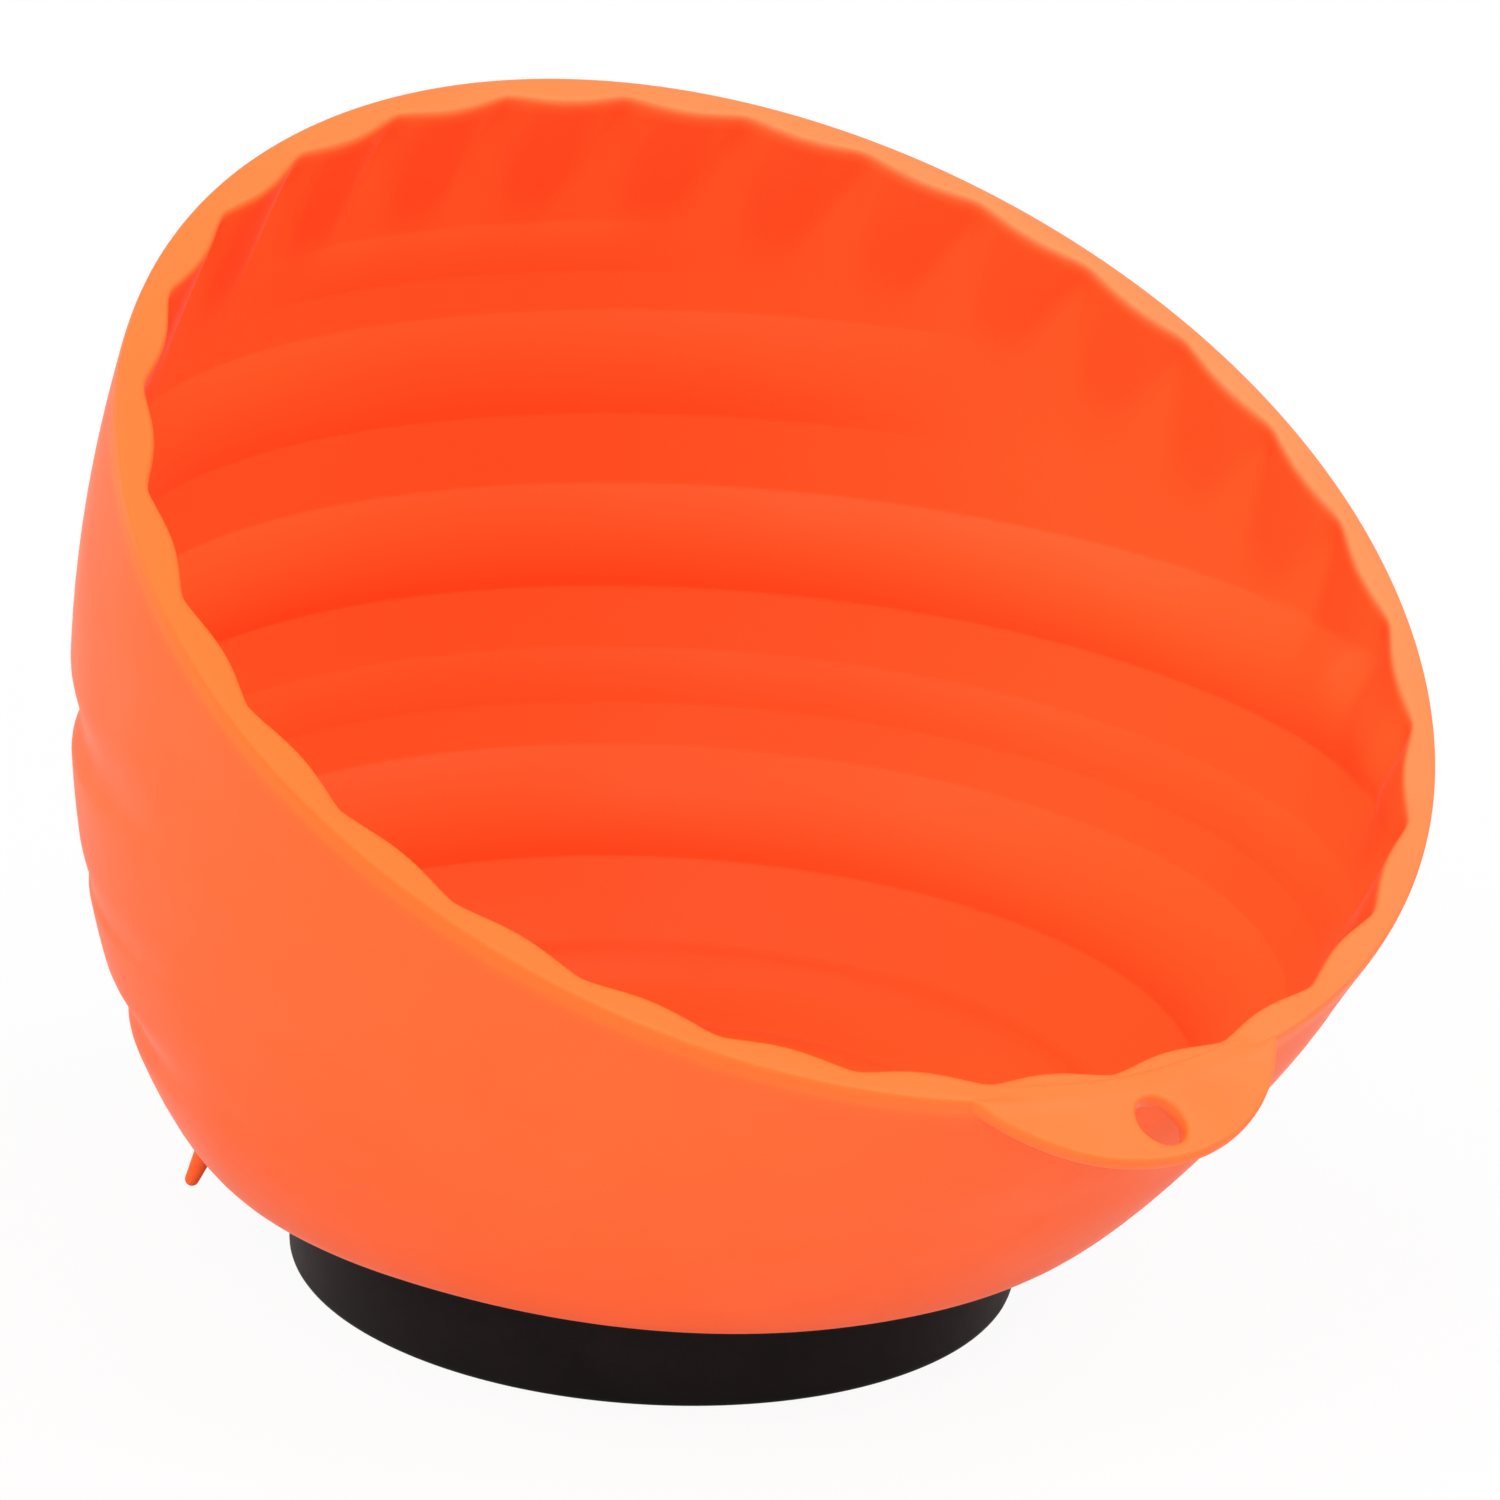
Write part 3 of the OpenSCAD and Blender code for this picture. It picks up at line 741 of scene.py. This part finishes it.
def tab_skin(bowl, fittings):
    """The hang tab as one rounded ring of skin round its hole, from the hole's edge to the outline."""
    plane = RimPlane(BowlShape(bowl), fittings.tab_turn)
    half, reach = fittings.tab_width / 2, fittings.tab_reach
    drop = plane.radius - math.sqrt(plane.radius**2 - half**2)
    tab_r = (half**2 + (reach + drop) ** 2) / (2 * (reach + drop))
    hole_r, hole_up = fittings.hang_hole / 2, -fittings.hang_out
    root_r = plane.radius - fittings.tab_root
    thick = fittings.tab_thick
    round_hole, round_edge = 0.55 * MM, 0.7 * MM
    face = (0.08, 0.17, 0.26, 0.36, 0.46, 0.56, 0.66, 0.76, 0.86, 0.94)
    arc = np.linspace(0, math.pi / 2, 6)

    plan = [("hole", 0.0, -thick), ("hole", 0.0, -thick / 2)]
    plan += [("hole", round_hole * (1 - math.cos(a)), -round_hole * (1 - math.sin(a))) for a in arc]
    plan += [("face", x, 0.0) for x in face]
    plan += [("edge", round_edge * (1 - math.sin(a)), -round_edge * (1 - math.cos(a))) for a in arc]
    plan += [("edge", 0.0, -thick + round_edge)]
    plan += [
        ("edge", round_edge * (1 - math.cos(a)), -thick + round_edge * (1 - math.sin(a))) for a in arc[1:]
    ]
    plan += [("face", x, -thick) for x in (0.7, 0.3)]

    piece = turned("silicone_tab", closed_loop(len(plan)), TAB_STEPS)
    index, turn = stations(piece)

    def reach_to(direction):
        """Distance from the hole's middle to the tab's outline."""
        cos, sin = np.cos(direction), np.sin(direction)
        lift = hole_up - (tab_r - reach)
        far = -lift * sin + np.sqrt((lift * sin) ** 2 - lift**2 + tab_r**2)
        lift = hole_up - plane.radius
        within = (lift * sin) ** 2 - lift**2 + root_r**2
        near = -lift * sin - np.sqrt(np.maximum(within, 0))
        return np.where((within > 0) & (near > 0), np.minimum(near, far), far)

    # the rays are drawn together towards the outline's two corners
    sample = np.linspace(0, math.tau, 7201)
    spread = reach_to(sample)
    outline = np.stack([spread * np.cos(sample), spread * np.sin(sample)], -1)
    walked = np.concatenate([[0], np.cumsum(np.linalg.norm(np.diff(outline, axis=0), axis=1))])
    blended = 0.6 * walked / walked[-1] + 0.4 * sample / math.tau
    direction = np.interp(turn / math.tau, blended, sample)
    far = reach_to(direction)
    kinds = np.array([kind for kind, _, _ in plan])[index]
    x = np.array([value for _, value, _ in plan])[index]
    depth = np.array([value for _, _, value in plan])[index]
    start, end = hole_r + round_hole, far - round_edge
    radius = np.select(
        [kinds == "hole", kinds == "edge"], [hole_r + x, far - x], start + x * (end - start)
    )
    across, up = radius * np.cos(direction), hole_up + radius * np.sin(direction)
    out = np.hypot(across, up - plane.radius) - plane.radius
    # beyond the rim the tab steps down, less so in the middle; within it the tab sinks out of sight
    least_step, level_half, level_fade = 0.2, 5 * MM, 4 * MM
    end_from, end_fade, end_dip = 13 * MM, 6 * MM, 0.5 * MM
    sink_slope, proud = 0.03, 0.01 * MM
    side = np.abs(across)
    middle = least_step + (1 - least_step) * ease((side - level_half) / level_fade)
    step = fittings.tab_step * middle * ease((out + 0.2 * MM) / (1.3 * MM))
    ends = ease((side - end_from) / end_fade) * ease((-out - 0.1 * MM) / MM)
    sink = sink_slope * np.maximum(-out - 0.3 * MM, 0) + end_dip * ends
    settle(piece, plane.points(across, up, depth + proud - sink - step * (1 + depth / thick)))
    # painted glow over the tab's top and, less, over its underside
    keep_shares(piece, "rim_edge_glow", np.where(depth > -thick * 0.9, 1.0, 0.4))
    # painted highlight by the tab's place round the rim
    keep_shares(piece, "rim_highlight", highlight_round_rim(1.5 * math.pi + fittings.tab_turn + across / plane.radius))
    return piece


def peg_skin(bowl, fittings):
    """The tapered peg with a flared root and a round tip, turned upright and then laid on the wall."""
    shape = BowlShape(bowl)
    root, tip, long = fittings.peg_root / 2, fittings.peg_tip / 2, fittings.peg_length
    sunk, flare_z, straight = -0.8 * MM, -0.2 * MM, 0.9 * MM
    flare = root * 1.5
    profile = [(0.0, sunk), (flare, sunk), (flare, flare_z)]
    profile += [
        (root * (1.5 - 0.42 * x), flare_z + (straight - flare_z) * x**1.6) for x in (0.3, 0.6, 0.85, 1.0)
    ]
    profile += [
        (root + (tip - root) * x, straight + (long - tip - straight) * x) for x in (0.15, 0.4, 0.7, 1.0)
    ]
    dome = np.linspace(0, math.pi / 2, 8)[1:]
    profile += [(tip * math.cos(a), long - tip + tip * math.sin(a)) for a in dome]
    piece = turned("silicone_peg", profile, PEG_STEPS, closed=False)
    piece.data.attributes.remove(piece.data.attributes["station"])
    # how far up it stands from the foot to the fold, and a distance well below the rim
    up_share, far_below = 0.275, 1.0
    s = np.array(bowl.foot_z + up_share * (FOLD_LOW - bowl.foot_z))
    turn = np.array(fittings.peg_turn)
    place = shape.point(s, turn, shape.outer(s, turn, far_below))
    piece.matrix_world = (
        Matrix.Translation(Vector(place))
        @ Matrix.Rotation(fittings.peg_turn, 4, "Z")
        @ Matrix.Rotation(math.pi - fittings.peg_lean, 4, "Y")
    )
    bpy.ops.object.transform_apply(location=True, rotation=True, scale=True)
    return piece


def rounded(corners, radius, count=4):
    """A profile whose corners are rounded off; a corner given its own third number takes that radius."""
    points = []
    for k, corner in enumerate(corners):
        here = np.array(corner[:2], float)
        size = corner[2] if len(corner) > 2 else radius
        before = np.array(corners[k - 1][:2], float) - here
        after = np.array(corners[(k + 1) % len(corners)][:2], float) - here
        if size == 0:
            points.append(tuple(here))
            continue
        start = here + before / np.linalg.norm(before) * size
        end = here + after / np.linalg.norm(after) * size
        points += [tuple(fillet(start, here, end, x)) for x in np.linspace(0, 1, count + 1)]
    return points


def plate_skin(name, low, high, hole, radius):
    outside = (high[0] - low[0]) / 2
    corners = [(hole, low[2]), (outside, low[2]), (outside, high[2]), (hole, high[2])]
    piece = turned(name, rounded(corners, radius), PLATE_STEPS)
    piece.data.attributes.remove(piece.data.attributes["station"])
    return piece


def screw_skin(low, high, washer_top):
    """Pan head with a cross cut into it, on a shank with a chamfered tip."""
    head, shank, chamfer, rounding = (high[0] - low[0]) / 2, 2.5 * MM, 0.5 * MM, 0.15 * MM
    side_share = 0.45
    side = washer_top + (high[2] - washer_top) * side_share
    profile = [(0.0, low[2]), (shank - chamfer, low[2]), (shank, low[2] + chamfer), (shank, washer_top)]
    profile += [(head - rounding, washer_top), (head, washer_top + rounding)]
    profile += [
        (head * math.cos(a), side + (high[2] - side) * math.sin(a)) for a in np.linspace(0, math.pi / 2, 12)
    ]
    piece = turned("pan_screw", profile, SCREW_STEPS, closed=False)
    piece.data.attributes.remove(piece.data.attributes["station"])
    for quarter in (0, 1):
        cut_slot(piece, high[2], quarter * math.pi / 2)
    bpy.ops.object.shade_smooth_by_angle(angle=math.radians(32))
    return piece


def cut_slot(piece, top, turn):
    """One slot of a screw's cross, narrowing towards its bottom."""
    long, wide, deep = 5 * MM, 1.1 * MM, 1.6 * MM
    bottom_long, bottom_wide = 0.45, 0.7
    deselect()
    bpy.ops.mesh.primitive_cube_add(size=1.0, location=(0, 0, top))
    cutter = bpy.context.active_object
    for vertex in cutter.data.vertices:
        if vertex.co.z < 0:
            vertex.co.x *= bottom_long
            vertex.co.y *= bottom_wide
    cutter.scale = (long, wide, 2 * deep)
    cutter.rotation_euler.z = turn
    bpy.ops.object.transform_apply(location=True, rotation=True, scale=True)
    deselect()
    piece.select_set(True)
    bpy.context.view_layer.objects.active = piece
    cut = piece.modifiers.new("cross", "BOOLEAN")
    cut.object = cutter
    cut.operation = "DIFFERENCE"
    cut.solver = "EXACT"
    bpy.ops.object.modifier_apply(modifier=cut.name)
    bpy.data.objects.remove(cutter)


def paint_for(context, name, make):
    return bpy.data.materials.get(name) or make(context.scene.tray_colours)


# Stage

# each lamp's name, place, size and power; all point at the middle of the bowl
LAMPS = (
    ("top_softbox", (0.05, -0.1, 1.1), 1.0, 5.8),
    ("right_softbox", (0.6, -0.6, 0.85), 0.8, 8.0),
    ("left_softbox", (-0.85, -0.1, 0.75), 0.8, 7.0),
    ("front_softbox", (-0.6, -1.0, 0.5), 0.7, 5.4),
    ("edge_softbox", (-0.6, 0.85, 0.42), 0.8, 4.0),
)
LAMP_TARGET = (0, -0.02, 0.06)

# the camera fitted to the base and the rim: degrees, then pixels of the square photograph
CAMERA_AZIMUTH, CAMERA_RISE, CAMERA_ROLL = -38.077, 19.075, 3.275
PHOTO_SIDE, PHOTO_FOCAL = 1500, 4538.5
PHOTO_CENTRE_X, PHOTO_CENTRE_Y = 673.171, 874.971
CAMERA_AIM, CAMERA_DISTANCE, SENSOR = 45 * MM, 500 * MM, 36.0


def lay_floor(shade):
    """A pale matt floor that keeps the tray's shadow and shows as white further off."""
    deselect()
    bpy.ops.mesh.primitive_plane_add(size=6.0, location=(0, 0, -0.05 * MM))
    floor = bpy.context.active_object
    floor.name = "studio_floor"
    block = bpy.data.materials.new("studio_floor")
    paint = Paint(block)
    mottled = paint.mix(paint.noise(scale=8), rgba(shade), rgba(shade, 1.02))
    matt = paint.add("ShaderNodeBsdfDiffuse", None, {"Color": mottled})
    white = paint.add("ShaderNodeEmission", None, {"Color": (1, 1, 1, 1), "Strength": 1.0})
    gap = paint.add("ShaderNodeVectorMath", {"operation": "LENGTH"}, {0: paint.place()}, out="Value")
    bare = paint.range(gap, 0.1, 0.3, 0.93, 1.0)
    whiteness = paint.ray("Is Camera Ray") * bare + paint.ray("Is Glossy Ray") * 0.3
    mixed = paint.add("ShaderNodeMixShader", None, {0: whiteness, 1: matt, 2: white})
    paint.add("ShaderNodeOutputMaterial", None, {"Surface": mixed})
    floor.data.materials.append(block)


def light_world(scene):
    """White for the camera and in reflections; it gives no diffuse light, which is left to the lamps."""
    scene.world = bpy.data.worlds.new("studio_world")
    paint = Paint(scene.world)
    level = paint.ray("Is Camera Ray") + paint.ray("Is Glossy Ray") * 0.9
    sky = paint.add("ShaderNodeBackground", None, {"Color": (1, 1, 1, 1), "Strength": level})
    paint.add("ShaderNodeOutputWorld", None, {"Surface": sky})


def hang_lamps():
    """Square soft lamps round the tray."""
    for name, place, size, power in LAMPS:
        deselect()
        bpy.ops.object.light_add(type="AREA", location=place)
        lamp = bpy.context.active_object
        lamp.name = lamp.data.name = name
        lamp.data.shape = "SQUARE"
        lamp.data.size = size
        lamp.data.energy = power
        lamp.rotation_euler = (Vector(LAMP_TARGET) - Vector(place)).to_track_quat("-Z", "Y").to_euler()


def set_camera(scene):
    """The camera at the photograph's place and angle."""
    azimuth, rise, roll = (math.radians(x) for x in (CAMERA_AZIMUTH, CAMERA_RISE, CAMERA_ROLL))
    level = math.cos(rise)
    away = Vector((math.sin(azimuth) * level, -math.cos(azimuth) * level, math.sin(rise)))
    right = Vector((math.cos(azimuth), math.sin(azimuth), 0))
    up = away.cross(right)
    across = math.cos(roll) * right + math.sin(roll) * up
    upward = math.cos(roll) * up - math.sin(roll) * right
    deselect()
    bpy.ops.object.camera_add()
    camera = bpy.context.active_object
    camera.name = "photo_camera"
    turn = Matrix((across, upward, away)).transposed().to_4x4()
    camera.matrix_world = Matrix.Translation(Vector((0, 0, CAMERA_AIM)) + CAMERA_DISTANCE * away) @ turn
    camera.data.sensor_width = SENSOR
    camera.data.lens = PHOTO_FOCAL / PHOTO_SIDE * SENSOR
    camera.data.shift_x = (PHOTO_SIDE / 2 - PHOTO_CENTRE_X) / PHOTO_SIDE
    camera.data.shift_y = (PHOTO_CENTRE_Y - PHOTO_SIDE / 2) / PHOTO_SIDE
    camera.data.clip_start, camera.data.clip_end = 0.01, 50.0
    scene.camera = camera


# Operators


class TRAY_OT_bowl(bpy.types.Operator):
    """Make the silicone bowl's skin over its three solids"""

    bl_idname = "tray.bowl"
    bl_label = "Silicone bowl"

    def execute(self, context):
        piece = bowl_skin(context.scene.tray_bowl)
        painted(piece, paint_for(context, "moulded_silicone", silicone_paint))
        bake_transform(piece)
        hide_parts("bowl_cup", "pleat_wall", "bowl_hood")
        return {"FINISHED"}


class TRAY_OT_tab(bpy.types.Operator):
    """Make the hang tab's rounded skin"""

    bl_idname = "tray.tab"
    bl_label = "Hang tab"

    def execute(self, context):
        piece = tab_skin(context.scene.tray_bowl, context.scene.tray_fittings)
        painted(piece, paint_for(context, "moulded_silicone", silicone_paint))
        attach(piece, "bowl_top")
        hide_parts("hang_tab")
        return {"FINISHED"}


class TRAY_OT_peg(bpy.types.Operator):
    """Make the moulded peg under the back of the bowl"""

    bl_idname = "tray.peg"
    bl_label = "Moulded peg"

    def execute(self, context):
        piece = peg_skin(context.scene.tray_bowl, context.scene.tray_fittings)
        painted(piece, paint_for(context, "moulded_silicone", silicone_paint))
        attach(piece, "base_unit")
        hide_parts("moulded_peg")
        return {"FINISHED"}


class TRAY_OT_boot(bpy.types.Operator):
    """Make the rubber boot with soft edges"""

    bl_idname = "tray.boot"
    bl_label = "Rubber boot"

    def execute(self, context):
        z = context.scene.tray_fittings
        outside = (BOOT_HIGH[0] - BOOT_LOW[0]) / 2
        inside, top = outside - z.boot_wall, BOOT_HIGH[2]
        corners = [
            (0.0, 0.0, 0),
            (outside, 0.0, z.boot_foot_round),
            (outside, top, z.boot_top_round),
            (inside, top, z.boot_top_round),
            (inside, z.boot_floor, 0),
            (0.0, z.boot_floor, 0),
        ]
        piece = turned("rubber_boot", rounded(corners, 0, 6), BOOT_STEPS, closed=False)
        piece.data.attributes.remove(piece.data.attributes["station"])
        bpy.ops.object.shade_smooth_by_angle(angle=math.radians(40))
        painted(piece, paint_for(context, "black_rubber", rubber_paint))
        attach(piece, "base_unit")
        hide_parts("base_boot")
        return {"FINISHED"}


class TRAY_OT_clamp(bpy.types.Operator):
    """Make the clamp plate, washer and screw on the bowl's floor"""

    bl_idname = "tray.clamp"
    bl_label = "Clamp"

    def execute(self, context):
        hole = context.scene.tray_bowl.hole_d / 2
        made = {
            "clamp_plate": plate_skin("zinc_plate", CLAMP_LOW, CLAMP_HIGH, hole, radius=0.3 * MM),
            "screw_washer": plate_skin("zinc_washer", WASHER_LOW, WASHER_HIGH, hole, radius=0.2 * MM),
            "clamp_screw": screw_skin(SCREW_LOW, SCREW_HIGH, WASHER_HIGH[2]),
        }
        for node, piece in made.items():
            painted(piece, paint_for(context, "bright_zinc", zinc_paint))
            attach(piece, "base_unit")
            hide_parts(node)
        return {"FINISHED"}


class TRAY_OT_magnet(bpy.types.Operator):
    """Finish the sealed magnet, its carrier plate and the weld nut"""

    bl_idname = "tray.magnet"
    bl_label = "Magnet and carrier"

    def execute(self, context):
        finishes = {
            "ring_magnet": paint_for(context, "sintered_ferrite", ferrite_paint),
            "carrier_plate": paint_for(context, "bright_zinc", zinc_paint),
            "weld_nut": paint_for(context, "bright_zinc", zinc_paint),
        }
        for node, block in finishes.items():
            solid = next(o for o in bpy.context.scene.objects if o.get("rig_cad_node") == node)
            solid.data.materials.clear()
            solid.data.materials.append(block)
        return {"FINISHED"}


class TRAY_OT_stage(bpy.types.Operator):
    """Lay the pale floor and set up the lamps, the world and the camera"""

    bl_idname = "tray.stage"
    bl_label = "Stage"

    def execute(self, context):
        lay_floor(context.scene.tray_colours.floor)
        light_world(context.scene)
        hang_lamps()
        set_camera(context.scene)
        context.scene.view_settings.view_transform = "Standard"
        return {"FINISHED"}


class TRAY_PT_panel(bpy.types.Panel):
    """Lists the tray's pieces and sizes"""

    bl_idname = "TRAY_PT_panel"
    bl_label = "Parts tray"
    bl_space_type = "VIEW_3D"
    bl_region_type = "UI"
    bl_category = "Parts tray"

    def draw(self, context):
        for operator in OPERATORS:
            self.layout.operator(operator.bl_idname)
        for group in ("tray_bowl", "tray_fittings", "tray_colours"):
            sizes = getattr(context.scene, group)
            for name in sizes.__annotations__:
                self.layout.prop(sizes, name)


OPERATORS = (
    TRAY_OT_bowl,
    TRAY_OT_tab,
    TRAY_OT_peg,
    TRAY_OT_boot,
    TRAY_OT_clamp,
    TRAY_OT_magnet,
    TRAY_OT_stage,
)
CLASSES = (TrayBowlSizes, TrayFittingSizes, TrayColours, *OPERATORS, TRAY_PT_panel)


def register():
    for cls in CLASSES:
        bpy.utils.register_class(cls)
    bpy.types.Scene.tray_bowl = PointerProperty(type=TrayBowlSizes)
    bpy.types.Scene.tray_fittings = PointerProperty(type=TrayFittingSizes)
    bpy.types.Scene.tray_colours = PointerProperty(type=TrayColours)


def unregister():
    for name in ("tray_bowl", "tray_fittings", "tray_colours"):
        delattr(bpy.types.Scene, name)
    for cls in reversed(CLASSES):
        bpy.utils.unregister_class(cls)


def main():
    register()
    bpy.ops.tray.bowl()
    bpy.ops.tray.tab()
    bpy.ops.tray.peg()
    bpy.ops.tray.boot()
    bpy.ops.tray.clamp()
    bpy.ops.tray.magnet()
    bpy.ops.tray.stage()


if __name__ == "__main__":
    main()
